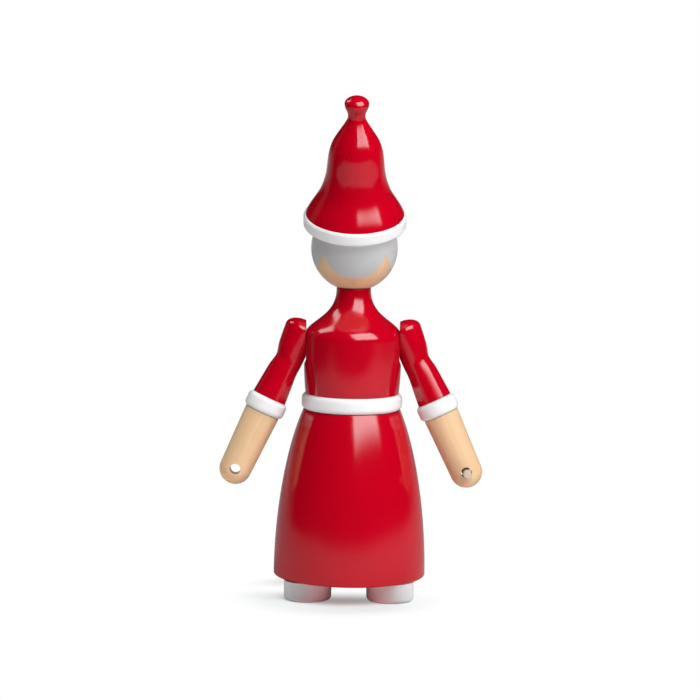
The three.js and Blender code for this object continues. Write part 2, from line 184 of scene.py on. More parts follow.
class Outline:
    """A turned piece's outline, drawn as a pen path in (radius, height). A stroke returns the outline."""

    def __init__(self, radius: float, height: float) -> None:
        """Starts the path at a radius and a height."""
        self.parts: list[Array] = [np.array([[radius, height]])]

    @property
    def pen(self) -> Array:
        """The path's last point."""
        return self.parts[-1][-1]

    def line(self, radius: float, height: float) -> "Outline":
        """Draws a straight stretch, in even steps.

        Args:
            radius: Distance from the axis at its end.
            height: Height at its end.

        Returns:
            The outline itself.
        """
        end = np.array([radius, height])
        steps = max(1, math.ceil(np.linalg.norm(end - self.pen) / FINE))
        t = np.linspace(0.0, 1.0, steps + 1)[1:, None]
        self.parts.append(self.pen + t * (end - self.pen))
        return self

    def curve(self, first: Pair, second: Pair, end: Pair) -> "Outline":
        """Draws a cubic curve from the pen to its end.

        Args:
            first: Control point next to the start.
            second: Control point next to the end.
            end: Last point.

        Returns:
            The outline itself.
        """
        p0, p1, p2, p3 = self.pen, np.array(first), np.array(second), np.array(end)
        reach = np.linalg.norm(p1 - p0) + np.linalg.norm(p2 - p1) + np.linalg.norm(p3 - p2)
        t = np.linspace(0.0, 1.0, math.ceil(reach / FINE) + 1)[1:, None]
        s = 1.0 - t
        self.parts.append(s**3 * p0 + 3 * s * s * t * p1 + 3 * s * t * t * p2 + t**3 * p3)
        return self

    def arc(self, centre: Pair, sizes: Pair, start: float, stop: float) -> "Outline":
        """Draws a line to an arc's start and then the arc: centre + sizes * (cos a, sin a).

        Args:
            centre: The arc's centre.
            sizes: Half sizes along radius and height.
            start: First angle in degrees.
            stop: Last angle in degrees.

        Returns:
            The outline itself.
        """
        steps = max(FEWEST, math.ceil(math.radians(abs(stop - start)) * max(sizes) / FINE))
        angle = np.radians(np.linspace(start, stop, steps + 1))
        points = np.stack([np.cos(angle), np.sin(angle)], 1) * np.array(sizes) + np.array(centre)
        self.line(*points[0])
        self.parts.append(points[1:])
        return self

    def edge(self, kind: Edge, radius: float, height: float, size: float) -> "Outline":
        """Rounds an outer edge, whose corner would be at the radius and the height, by a size."""
        centre = (radius - size, height + (size if kind is Edge.LOWER else -size))
        return self.arc(centre, (size, size), kind.value, kind.value + 90)

    def along_ball(self, radius: float, first: float, last: float) -> "Outline":
        """Follows a ball about the origin from one height to another."""
        start, stop = (math.degrees(math.asin(height / radius)) for height in (first, last))
        return self.arc((0.0, 0.0), (radius, radius), start, stop)

    def sweep(self, low: Level, high: Level, rise: float = 0.0, drop: float = 0.0) -> "Outline":
        """Curves between two levels along their leans, over the given heights or a third of the way each."""
        third = (high.height - low.height) / 3
        return self.curve(low.ahead(rise or third), high.ahead(-(drop or third)), high.ahead())

    def step(self, radius: float, end: float) -> "Outline":
        """Draws level in to a bore or a tenon of a radius, along it to its end and in to the axis."""
        return self.line(radius, self.pen[1]).line(radius, end).line(0.0, end)

    def points(self) -> Array:
        """The whole path, with points that fall together taken once."""
        path = np.concatenate(self.parts)
        apart = np.linalg.norm(np.diff(path, axis=0), axis=1) > SAME
        return path[np.concatenate([[True], apart])]


@dataclass
class Surface:
    """A closed surface as rows of points: each row goes round, and rows follow an outline.

    Attributes:
        points: Array of rows by columns by 3.
        ring: True if the last row meets the first, as on a hoop. Otherwise both end rows are single points.
    """

    points: Array
    ring: bool = False

    @classmethod
    def turned(cls, outline: Outline, columns: int = 192, ring: bool = False) -> "Surface":
        """A surface of revolution about Z: (r cos a, r sin a, h).

        Args:
            outline: Path of radius and height, from the axis out, up and back, or closed for a hoop.
            columns: Steps round the axis.
            ring: True if the outline closes on itself.

        Returns:
            The surface.
        """
        path = outline.points()
        if ring:
            path = path[:-1]
        angle = around(columns)
        x = path[:, :1] * np.cos(angle)
        y = path[:, :1] * np.sin(angle)
        z = np.broadcast_to(path[:, 1:], x.shape)
        return cls(np.stack([x, y, z], -1), ring)

    def placed(self, matrix: Matrix) -> "Surface":
        """A copy moved by a matrix of a turn and a shift."""
        m = np.array(matrix)
        return Surface(self.points @ m[:3, :3].T + m[:3, 3], self.ring)

    def mesh(self, name: str) -> bpy.types.Mesh:
        """Joins neighbouring points with quads, and closes single-point ends with fans.

        Args:
            name: Name of the mesh.

        Returns:
            A closed mesh whose faces point out.
        """
        rows, columns, _ = self.points.shape
        here = np.arange(columns)
        after = (here + 1) % columns
        if self.ring:
            corners = self.points.reshape(-1, 3)
            low = np.arange(rows)[:, None] * columns
            high = (np.arange(rows)[:, None] + 1) % rows * columns
            fans: list[list[int]] = []
        else:
            body = self.points[1:-1].reshape(-1, 3)
            corners = np.concatenate([self.points[0, :1], body, self.points[-1, :1]])
            low = 1 + np.arange(rows - 3)[:, None] * columns
            high = low + columns
            top = 1 + (rows - 3) * columns
            first = np.stack([np.zeros_like(here), 1 + after, 1 + here], 1)
            last = np.stack([np.full_like(here, len(corners) - 1), top + here, top + after], 1)
            fans = np.concatenate([first, last]).tolist()
        quads = np.stack([low + here, low + after, high + after, high + here], -1).reshape(-1, 4)
        mesh = bpy.data.meshes.new(name)
        mesh.from_pydata(corners.tolist(), [], quads.tolist() + fans)
        mesh.update()
        shade(mesh)
        return mesh


def shade(mesh: bpy.types.Mesh) -> None:
    """Shades a mesh smooth between its sharp edges."""
    mesh.shade_smooth()
    mesh.set_sharp_from_angle(angle=SHARP)


def hoop(bore: float, outer: float, low: float, high: float, edge: float, columns: int) -> Surface:
    """A ring about Z, from its bore to its outer radius and from low to high, with round outer edges."""
    outline = Outline(bore, low).edge(Edge.LOWER, outer, low, edge).edge(Edge.UPPER, outer, high, edge)
    return Surface.turned(outline.line(bore, high).line(bore, low), columns, ring=True)


def drill(radius: float, low: float, high: float, matrix: Matrix = IDENTITY) -> Surface:
    """A round cutter of a radius, from one height to another along the Z of a matrix."""
    outline = Outline(0.0, low).line(radius, low).line(radius, high).line(0.0, high)
    return Surface.turned(outline, columns=64).placed(matrix)


def new_object(name: str, data: bpy.types.ID) -> bpy.types.Object:
    """Puts a mesh, lamp or camera into the scene.

    Args:
        name: The object's name.
        data: What it shows.

    Returns:
        The object, at the origin.
    """
    obj = bpy.data.objects.new(name, data)
    bpy.context.scene.collection.objects.link(obj)
    return obj


@dataclass
class Piece:
    """One visible piece of the figurine, standing for a CAD node.

    Attributes:
        name: Name of the CAD node it replaces.
        body: Body that it rides on.
        slot: Material slot of the record; not used.
        surface: Its shape.
        material: Its finish.
        drills: Cutters for its holes.
        fields: Values to store on its points, by name, one for each point of the surface's rows.
    """

    name: str
    body: str
    slot: Slot
    surface: Surface
    material: Material
    drills: list[Surface] = field(default_factory=list)
    fields: dict[str, Array] = field(default_factory=dict)

    def build(self) -> None:
        """Makes the object, drills it, dresses it, hides its node and ties it to its body."""
        title = self.name + FINISHED
        mesh = self.surface.mesh(title)
        for key, values in self.fields.items():
            flat = np.concatenate([values[0, :1], values[1:-1].ravel(), values[-1, :1]])
            mesh.attributes.new(key, "FLOAT", "POINT").data.foreach_set("value", flat.astype(np.float32))
        mesh.materials.append(self.material)
        obj = new_object(title, mesh)
        if self.drills:
            self._cut(obj)
        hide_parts(self.name)
        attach(obj, self.body)
        log.info("%s on %s: %d faces", title, self.body, len(obj.data.polygons))

    def _cut(self, obj: bpy.types.Object) -> None:
        """Cuts the drills out of an object and keeps the result as its mesh.

        Args:
            obj: The object to cut.
        """
        cutters = []
        for number, surface in enumerate(self.drills):
            cutter = new_object(f"{obj.name}_drill_{number}", surface.mesh("drill"))
            cut = obj.modifiers.new(cutter.name, "BOOLEAN")
            cut.operation = "DIFFERENCE"
            cut.solver = "EXACT"
            cut.object = cutter
            cutters.append(cutter)
        bpy.context.view_layer.update()
        evaluated = obj.evaluated_get(bpy.context.evaluated_depsgraph_get())
        mesh = bpy.data.meshes.new_from_object(evaluated)
        obj.modifiers.clear()
        obj.data = mesh
        while len(mesh.materials) > 1:
            mesh.materials.pop(index=len(mesh.materials) - 1)
        shade(mesh)
        for cutter in cutters:
            bpy.data.objects.remove(cutter)


class Nodes:
    """A short hand for building a node tree."""

    def __init__(self, tree: Tree) -> None:
        """Empties the tree that is to be filled."""
        self.tree = tree
        tree.nodes.clear()

    def add(self, kind: str, inputs: dict | None = None, **settings: object) -> bpy.types.Node:
        """Adds a node, sets its properties and feeds its inputs.

        Args:
            kind: Node type without the ShaderNode in front.
            inputs: Socket name or index to another node's output or to a value; colours come without alpha.
            settings: Properties of the node.

        Returns:
            The node.
        """
        node = self.tree.nodes.new(kind if kind.startswith("NodeGroup") else f"ShaderNode{kind}")
        for key, value in settings.items():
            setattr(node, key, value)
        for key, value in (inputs or {}).items():
            socket = node.inputs[key]
            if isinstance(value, Socket):
                self.tree.links.new(value, socket)
            else:
                socket.default_value = (*value, 1.0) if socket.type == "RGBA" else value
        return node

    def mix(self, share: Socket, one: object, two: object) -> Socket:
        """A colour that goes from one to two as the share goes from 0 to 1."""
        return self.add("Mix", {0: share, 6: one, 7: two}, data_type="RGBA").outputs[2]

    def between(self, share: Socket, one: object, two: object) -> Socket:
        """A number that goes from one to two as the share goes from 0 to 1."""
        return self.add("Mix", {0: share, 2: one, 3: two}).outputs[0]

    def span(self, value: Socket, low: Pair, high: Pair = WHOLE, ramp: Ramp = Ramp.STRAIGHT) -> Socket:
        """A value mapped from the range low to the range high, which it doesn't leave."""
        ends = {0: value, 1: low[0], 2: low[1], 3: high[0], 4: high[1]}
        return self.add("MapRange", ends, interpolation_type=ramp.value).outputs[0]

    def number(self, operation: str, *values: object) -> Socket:
        """A number worked out from others."""
        return self.add("Math", dict(enumerate(values)), operation=operation).outputs[0]

    def dress(self, inputs: dict) -> None:
        """Gives a material a principled shader with these inputs."""
        shader = self.add("BsdfPrincipled", inputs)
        self.add("OutputMaterial", {"Surface": shader.outputs[0]})


def new_group(name: str, scales: dict[str, float], outputs: tuple[str, ...]) -> tuple:
    """Starts a shader node group that reads a place and puts out values.

    Args:
        name: The group's name.
        scales: Names and defaults of its inputs besides Vector.
        outputs: Names of its outputs.

    Returns:
        The group's node builder, and its inputs by name.
    """
    group = bpy.data.node_groups.new(name, "ShaderNodeTree")
    group.interface.new_socket("Vector", in_out="INPUT", socket_type="NodeSocketVector")
    for key, default in scales.items():
        socket = group.interface.new_socket(key, in_out="INPUT", socket_type="NodeSocketFloat")
        socket.default_value = default
    for key in outputs:
        group.interface.new_socket(key, in_out="OUTPUT", socket_type="NodeSocketFloat")
    nodes = Nodes(group)
    return nodes, nodes.add("NodeGroupInput").outputs


def lacquer_film_group() -> Tree:
    """The skin of sprayed lacquer: a fine orange peel, a faint cloudiness and specks of dust.

    Returns:
        A group with Height for a bump, and Cloud and Speck from 0 to 1.
    """
    scales = {"Peel Scale": 2200.0, "Cloud Scale": 70.0, "Dust Scale": 190.0}
    nodes, given = new_group("lacquer_film", scales, ("Height", "Cloud", "Speck"))
    place = given["Vector"]
    peel = nodes.add("TexNoise", {"Vector": place, "Scale": given["Peel Scale"], "Detail": 3.0})
    cloud = nodes.add("TexNoise", {"Vector": place, "Scale": given["Cloud Scale"], "Detail": 4.0})
    dust = nodes.add("TexVoronoi", {"Vector": place, "Scale": given["Dust Scale"], "Randomness": 1.0})
    nodes.add("NodeGroupOutput", {
        "Height": peel.outputs[0],
        "Cloud": nodes.span(cloud.outputs[0], (0.3, 0.7)),
        "Speck": nodes.span(dust.outputs["Distance"], (0.03, 0.055), DOWN),
    })
    return nodes.tree


def wood_fibre_group() -> Tree:
    """Close-grained wood: long fibres along Z, wide pale growth bands and short dark ray flecks.

    Returns:
        A group with Band, Fibre and Fleck from 0 to 1.
    """
    scales = {"Fibre Scale": 900.0, "Band Scale": 110.0, "Fleck Scale": 420.0}
    nodes, given = new_group("wood_fibre", scales, ("Band", "Fibre", "Fleck"))
    long, short = (
        nodes.add("Mapping", {"Vector": given["Vector"], "Scale": (1.0, 1.0, squeeze)}).outputs[0]
        for squeeze in (0.05, 0.18)  # the smaller, the longer along Z
    )
    fibre = nodes.add("TexNoise", {"Vector": long, "Scale": given["Fibre Scale"], "Detail": 5.0})
    band = nodes.add("TexNoise", {"Vector": long, "Scale": given["Band Scale"], "Distortion": 0.6})
    fleck = nodes.add("TexVoronoi", {"Vector": short, "Scale": given["Fleck Scale"]})
    nodes.add("NodeGroupOutput", {
        "Band": nodes.span(band.outputs[0], (0.35, 0.65)),
        "Fibre": nodes.span(fibre.outputs[0], (0.3, 0.7)),
        "Fleck": nodes.span(fleck.outputs["Distance"], (0.06, 0.2), DOWN),
    })
    return nodes.tree


def new_material(name: str) -> tuple[Material, Nodes]:
    """An empty node material.

    Args:
        name: The material's name.

    Returns:
        The material and its node builder.
    """
    material = bpy.data.materials.new(name)
    material.use_nodes = True
    return material, Nodes(material.node_tree)


@dataclass(frozen=True)
class Lacquer:
    """A sprayed and rubbed lacquer over smooth wood.

    Attributes:
        name: The material's name.
        colour: Colour of the film.
        deep: Colour where the film is thickest.
        gloss: Lowest and highest roughness over the surface.
        peel: Depth of the orange peel in metres.
        speck: Colour of the few dust specks.
        ior: Index of refraction of the film.
        tint: Colour of the film's own reflections.
        speck_share: How much of their colour the specks show.
    """

    name: str
    colour: Colour
    deep: Colour
    gloss: Pair
    peel: float
    speck: Colour
    ior: float
    tint: Colour = (1.0, 1.0, 1.0)
    speck_share: float = 0.25

    def material(self, film: Tree) -> Material:
        """Builds the material.

        Args:
            film: The shared lacquer group.

        Returns:
            The material.
        """
        material, nodes = new_material(self.name)
        place = nodes.add("TexCoord").outputs["Object"]
        skin = nodes.add("Group", {"Vector": place}, node_tree=film).outputs
        colour = nodes.mix(skin["Cloud"], self.colour, self.deep)
        faint = nodes.span(skin["Speck"], WHOLE, (0.0, self.speck_share))
        bump = nodes.add("Bump", {"Strength": 1.0, "Distance": self.peel, "Height": skin["Height"]})
        nodes.dress({
            "Base Color": nodes.mix(faint, colour, self.speck),
            "Roughness": nodes.span(skin["Cloud"], WHOLE, self.gloss),
            "Normal": bump.outputs[0],
            "IOR": self.ior,
            "Specular Tint": self.tint,
        })
        return material


@dataclass(frozen=True)
class Wood:
    """Close-grained pale wood with the fibres along a piece's own axis.

    Attributes:
        name: The material's name.
        pale: Colour of the early wood.
        dark: Colour of the growth bands.
        fleck: Colour of the ray flecks.
        roughness: Roughness of the fibres, lowest and highest.
        relief: Depth of the grain in metres.
        shine: Specular level, where 0.5 is a full film of varnish.
        glow: Share of the light that goes into the wood before it comes out.
        glow_depth: How far the reddest of that light goes, in metres.
        glow_colours: How far each colour goes in comparison.
        fibre_share: How much of the bands' colour the fibres take.
        fleck_share: How much of their colour the flecks show.
        relief_strength: How much of the grain's depth is felt.
    """

    name: str
    pale: Colour
    dark: Colour
    fleck: Colour
    roughness: Pair
    relief: float
    shine: float
    glow: float = 0.0
    glow_depth: float = 3 * MM
    glow_colours: Colour = (1.0, 0.4, 0.2)
    fibre_share: float = 0.35
    fleck_share: float = 0.4
    relief_strength: float = 0.4

    def grain(self, nodes: Nodes, fibre: Tree, turn: Matrix) -> dict[str, object]:
        """Adds the grain to a material.

        Args:
            nodes: The material's node builder.
            fibre: The shared wood group.
            turn: The piece's own frame, whose Z the fibres follow.

        Returns:
            The shader's inputs by name.
        """
        back = turn.inverted()
        own = nodes.add("Mapping", {
            "Vector": nodes.add("TexCoord").outputs["Object"],
            "Location": back.to_translation(),
            "Rotation": back.to_euler(),
        })
        wood = nodes.add("Group", {"Vector": own.outputs[0]}, node_tree=fibre).outputs
        colour = nodes.mix(wood["Band"], self.pale, self.dark)
        for key, most, tone in (
            ("Fibre", self.fibre_share, self.dark),
            ("Fleck", self.fleck_share, self.fleck),
        ):
            colour = nodes.mix(nodes.span(wood[key], WHOLE, (0.0, most)), colour, tone)
        relief = {"Strength": self.relief_strength, "Distance": self.relief, "Height": wood["Fibre"]}
        return {
            "Base Color": colour,
            "Roughness": nodes.span(wood["Fibre"], WHOLE, self.roughness),
            "Normal": nodes.add("Bump", relief).outputs[0],
            "Subsurface Weight": self.glow,
            "Subsurface Radius": self.glow_colours,
            "Subsurface Scale": self.glow_depth,
        }

    def material(self, fibre: Tree, turn: Matrix, piece: str) -> Material:
        """Builds the material for one piece.

        Args:
            fibre: The shared wood group.
            turn: The piece's own frame.
            piece: Name of the piece, put behind the material's name.

        Returns:
            The material.
        """
        material, nodes = new_material(f"{self.name}_{piece}")
        nodes.dress({**self.grain(nodes, fibre, turn), "Specular IOR Level": self.shine})
        return material


@dataclass(frozen=True)
class HeadPaint:
    """The head's paint over its wood: hair, eyes, mouth and a blush, each where a stored field is positive.

    Attributes:
        wood: The wood under the paint.
        hair: Colour of the hair.
        hair_shade: Colour of the hair's cloudy patches.
        eye: Colour of the eyes.
        mouth: Colour of the mouth.
        blush: Colour of the cheeks.
        blush_share: How much of that colour shows at most.
        edge: Half width of a painted edge, in degrees on the ball.
        blush_edge: Half width over which the blush fades, in degrees.
        paint_roughness: Roughness of the paint.
    """

    wood: Wood
    hair: Colour
    hair_shade: Colour
    eye: Colour
    mouth: Colour
    blush: Colour
    blush_share: float = 0.4
    edge: float = 0.28
    blush_edge: float = 6.0
    paint_roughness: float = 0.28

    def material(self, fibre: Tree, film: Tree, turn: Matrix) -> Material:
        """Builds the material.

        Args:
            fibre: The shared wood group.
            film: The shared lacquer group, for the paint's cloudiness.
            turn: The head's own frame.

        Returns:
            The material.
        """
        material, nodes = new_material("head_wood_painted")
        bare = self.wood.grain(nodes, fibre, turn)
        place = nodes.add("TexCoord").outputs["Object"]
        cloud = nodes.add("Group", {"Vector": place}, node_tree=film).outputs["Cloud"]
        hair = nodes.mix(cloud, self.hair, self.hair_shade)
        blush = self._mask(nodes, "blush", self.blush_edge, self.blush_share)
        colour = nodes.mix(blush, bare["Base Color"], self.blush)
        rough = bare["Roughness"]
        for key, paint in (("hair", hair), ("eyes", self.eye), ("mouth", self.mouth)):
            mask = self._mask(nodes, key, self.edge)
            colour = nodes.mix(mask, colour, paint)
            rough = nodes.between(mask, rough, self.paint_roughness)
        nodes.dress({**bare, "Base Color": colour, "Roughness": rough})
        return material

    @staticmethod
    def _mask(nodes: Nodes, key: str, edge: float, most: float = 1.0) -> Socket:
        """A mask that rises from 0 to its most across the edge, of a half width, of a stored field."""
        stored = nodes.add("Attribute", attribute_name=key, attribute_type="GEOMETRY").outputs["Fac"]
        return nodes.span(stored, (-edge, edge), (0.0, most))


RED = Lacquer(
    name="red_lacquer",
    colour=(0.535, 0.0003, 0.0122),
    deep=(0.505, 0.0002, 0.0112),
    gloss=(0.1, 0.13),
    peel=0.016 * MM,
    speck=(0.45, 0.004, 0.012),
    ior=1.62,
    tint=(0.8, 1.0, 1.0),
)
WHITE = Lacquer(
    name="white_lacquer",
    colour=(0.88, 0.885, 0.885),
    deep=(0.85, 0.855, 0.855),
    gloss=(0.2, 0.26),
    peel=0.007 * MM,
    speck=(0.78, 0.77, 0.75),
    ior=1.5,
)
NATURAL = Wood(
    name="natural_wood",
    pale=(0.82, 0.58, 0.362),
    dark=(0.735, 0.478, 0.276),
    fleck=(0.66, 0.38, 0.19),
    roughness=(0.17, 0.23),
    relief=0.01 * MM,
    shine=0.15,
    glow=0.5,
)
RAW = Wood(
    name="raw_wood",
    pale=(0.66, 0.52, 0.42),
    dark=(0.57, 0.43, 0.33),
    fleck=(0.42, 0.27, 0.18),
    roughness=(0.65, 0.8),
    relief=0.03 * MM,
    shine=0.3,
)
HEAD_PAINT = HeadPaint(
    wood=NATURAL,
    hair=(0.56, 0.565, 0.57),
    hair_shade=(0.52, 0.525, 0.53),
    eye=(0.016, 0.012, 0.010),
    mouth=(0.52, 0.04, 0.045),
    blush=(0.80, 0.24, 0.19),
)


@dataclass
class Finishes:
    """The shared groups and the lacquers, each built once."""

    film: Tree = field(default_factory=lacquer_film_group)
    fibre: Tree = field(default_factory=wood_fibre_group)

    def __post_init__(self) -> None:
        """Builds the two lacquers."""
        self.red = RED.material(self.film)
        self.white = WHITE.material(self.film)

    def wood(self, kind: Wood, turn: Matrix, piece: str) -> Material:
        """A wood for one piece, with the fibres along its own Z."""
        return kind.material(self.fibre, turn, piece)

    def head(self, turn: Matrix) -> Material:
        """The painted wood of the head."""
        return HEAD_PAINT.material(self.fibre, self.film, turn)


@dataclass
class Body:
    """Shoes, skirt, belt and bodice, stacked on the body's axis.

    Attributes are sizes in metres, as on the solids that they stand for; waist_lean is in degrees, and
    shoe_spread is the share of a shoe's half width over which its rows open from a point to its length.
    """

    finishes: Finishes
    shoe_edge: float = 1.6 * MM
    shoe_spread: float = 0.2
    sole: float = 2.6 * MM
    shoe_dowel: Dowel = Dowel(2.5 * MM, 10 * MM)
    hem_edge: float = 0.9 * MM
    hem_rise: float = 23.7 * MM
    waist_rise: float = 17.6 * MM
    waist_lean: float = 22.9
    waist_tuck: float = 0.7 * MM
    waist_dowel: Dowel = Dowel(5 * MM, 12 * MM)
    belt_edge: float = 2.2 * MM
    chest_level: float = 20.0 * MM
    chest_swell: float = 0.8 * MM
    shoulder_level: float = 22.2 * MM
    shoulder_turn: float = 6.8 * MM
    neck_radius: float = 6.85 * MM
    neck_length: float = 0.5 * MM
    neck_flare: float = 12.2 * MM
    neck_edge: float = 0.4 * MM
    neck_dowel: Dowel = Dowel(3 * MM, 12 * MM)
    seat_margin: float = 0.6 * MM
    seat_edge: float = 0.12 * MM

    def __post_init__(self) -> None:
        """Takes the levels and the outer radii from the solids."""
        skirt_low, skirt_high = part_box("skirt")
        belt_low, belt_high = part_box("belt")
        bodice_low, bodice_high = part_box("bodice")
        self.hem_radius = skirt_high.x
        self.hem_level = skirt_low.z
        self.belt_level = belt_low.z
        self.belt_radius = belt_high.x
        self.bodice_level = bodice_low.z
        self.chest_radius = bodice_high.x
        self.neck_top = bodice_high.z
        self.shoulder = Vector(joint_place("left_shoulder"))
        self.seat = self.shoulder.x - SNUG
        flat_below = Arm.sleeve_radius / math.sin(math.radians(Arm.tilt)) - Arm.rise
        self.seat_radius = max(Arm.rise, flat_below) + self.seat_margin

    def build(self) -> None:
        """Builds every piece of the body."""
        for side in Side:
            self.shoe(side)
        for name, surface, drills in (
            ("skirt", self.skirt(), self.skirt_drills()),
            ("bodice", self.bodice(), self.bodice_drills()),
        ):
            Piece(name, "body", Slot.RED, surface, self.finishes.red, drills).build()
        Piece("belt", "body", Slot.WHITE, self.belt(), self.finishes.white).build()

    def shoe(self, side: Side) -> None:
        """Builds a shoe: a round-ended outline drawn in along a rounded sole, level by level.

        Args:
            side: Which shoe.
        """
        low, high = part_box(f"{side.word}_shoe")
        centre = (low.x + high.x) / 2
        radius = (high.x - low.x) / 2
        section = Outline(0.0, low.z).edge(Edge.LOWER, radius, low.z, self.shoe_edge)
        path = section.line(radius, high.z).line(0.0, high.z).points()
        angle = around(columns=160)
        ends = np.where(np.sin(angle) >= 0.0, high.y - radius, low.y + radius)
        middle = (low.y + high.y) / 2
        inward = np.minimum(1.0, path[:, :1] / (self.shoe_spread * radius))
        x = centre + path[:, :1] * np.cos(angle)
        y = middle + (ends - middle) * inward + path[:, :1] * np.sin(angle)
        z = np.broadcast_to(path[:, 1:], x.shape)
        hole = Matrix.Translation((centre, 0.0, 0.0))
        drills = [drill(self.shoe_dowel.bore, self.sole, 2 * high.z, hole)]
        surface = Surface(np.stack([x, y, z], -1))
        Piece(f"{side.word}_shoe", "body", Slot.WHITE, surface, self.finishes.white, drills).build()

    def skirt(self) -> Surface:
        """The skirt: one cubic curve, upright at the hem and leaning in at the waist."""
        waist = self.belt_radius - self.waist_tuck
        lean = math.radians(self.waist_lean)
        outline = Outline(0.0, self.hem_level)
        outline.edge(Edge.LOWER, self.hem_radius, self.hem_level, self.hem_edge)
        outline.curve(
            (self.hem_radius, self.hem_level + self.hem_edge + self.hem_rise),
            (waist + self.waist_rise * math.sin(lean), self.belt_level - self.waist_rise * math.cos(lean)),
            (waist, self.belt_level),
        )
        outline.step(self.waist_dowel.bore, self.belt_level - self.waist_dowel.hole)
        return Surface.turned(outline, columns=208)

    def skirt_drills(self) -> list[Surface]:
        """Holes under the hem for the shoes' dowels."""
        low, high = self.hem_level / 2, self.hem_level + self.shoe_dowel.hole
        sides = [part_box(f"{side.word}_shoe_dowel")[0].x + self.shoe_dowel.radius for side in Side]
        places = [Matrix.Translation((x, 0.0, 0.0)) for x in sides]
        return [drill(self.shoe_dowel.bore, low, high, place) for place in places]

    def belt(self) -> Surface:
        """The belt: a flat hoop with round edges."""
        levels = (self.belt_level, self.bodice_level)
        return hoop(self.waist_dowel.bore, self.belt_radius, *levels, self.belt_edge, columns=240)

    def bodice(self) -> Surface:
        """The bodice: a swelling side, a cubic curve from shoulder to neck, and two flats for the arms."""
        base = self.bodice_level
        chest = base + self.chest_level
        third = self.chest_level / 3
        shoulder = Level(self.chest_radius, base + self.shoulder_level)
        collar = Level(self.neck_radius, self.neck_top - self.neck_length)
        bore, end = self.waist_dowel.bore, base + self.waist_dowel.hole
        outline = Outline(0.0, end).line(bore, end).line(bore, base)
        outline.line(self.chest_radius - self.chest_swell, base)
        outline.curve(*((self.chest_radius, level) for level in (base + third, chest - third, chest)))
        outline.line(*shoulder.ahead()).sweep(shoulder, collar, self.shoulder_turn, self.neck_flare)
        outline.edge(Edge.UPPER, self.neck_radius, self.neck_top, self.neck_edge)
        outline.step(self.neck_dowel.bore, self.neck_top - self.neck_dowel.hole)
        surface = Surface.turned(outline, columns=256)
        surface.points = self.seated(surface.points)
        return surface

    def seated(self, points: Array) -> Array:
        """Presses the arms' flats into the sides: inside a circle round the pivot, |x| stops at the seat.

        Args:
            points: Points of the bodice.

        Returns:
            The points with the flats.
        """
        x, y, z = np.moveaxis(points, -1, 0)
        away = np.hypot(y, z - self.shoulder.z)
        inside = smoothstep(self.seat_radius + 2 * self.seat_edge, self.seat_radius, away)
        proud = soft_positive(np.abs(x) - self.seat, self.seat_edge)
        return np.stack([x - np.sign(x) * inside * proud, y, z], -1)

    def bodice_drills(self) -> list[Surface]:
        """Holes in the sides for the arms' pivots."""
        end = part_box("left_shoulder_dowel")[0].x - DOWEL_CLEARANCE
        drills = []
        for side in Side:
            turn = Matrix.Rotation(side.value * math.pi / 2, 4, "Y")
            place = Matrix.Translation((0.0, 0.0, self.shoulder.z)) @ turn
            drills.append(drill(Arm.pivot.bore, end, 2 * self.seat, place))
        return drills


def round_patch(directions: Array, azimuth: float, latitude: float, size: float) -> Array:
    """Degrees by which each direction lies inside a round patch on a ball; negative outside.

    Args:
        directions: Unit vectors from the ball's centre.
        azimuth: The patch centre's angle in degrees from the back, growing towards the figure's left.
        latitude: The patch centre's height in degrees.
        size: The patch's radius in degrees.

    Returns:
        One value for each direction.
    """
    a, b = math.radians(azimuth), math.radians(latitude)
    centre = np.array([math.sin(a) * math.cos(b), math.cos(a) * math.cos(b), math.sin(b)])
    return size - np.degrees(np.arccos(np.clip(directions @ centre, -1.0, 1.0)))


